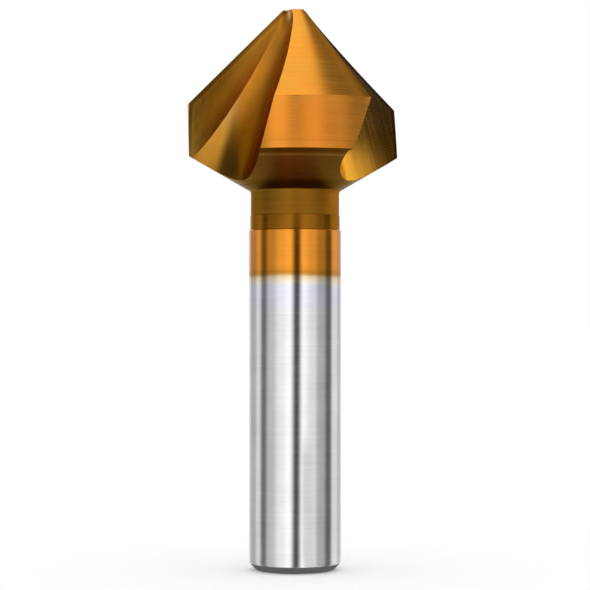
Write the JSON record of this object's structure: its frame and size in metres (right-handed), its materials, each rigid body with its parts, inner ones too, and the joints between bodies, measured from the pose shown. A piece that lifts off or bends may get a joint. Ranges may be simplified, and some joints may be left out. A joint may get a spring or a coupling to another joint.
{
  "type": "countersink bit",
  "caption": "Cone-headed countersink bit with ground flutes, a relieved cutting head, a short turned neck and a plain round shank; the head end is gold coated.",
  "frame": {"origin": "centre of the flat end of the shank, on the bit's axis", "axes": "+Z along the bit's axis, from the shank end to the cutting tip; -Y faces the viewer of the picture"},
  "size_m": [0.0275, 0.0274, 0.0728],
  "materials": {
    "coated_steel": "ground high speed steel; gold titanium nitride coating on the head, neck and the upper end of the shank, bright bare ground steel on the rest of the shank"
  },
  "bodies": {
    "root": {"bit": "coated_steel"}
  },
  "joints": []
}
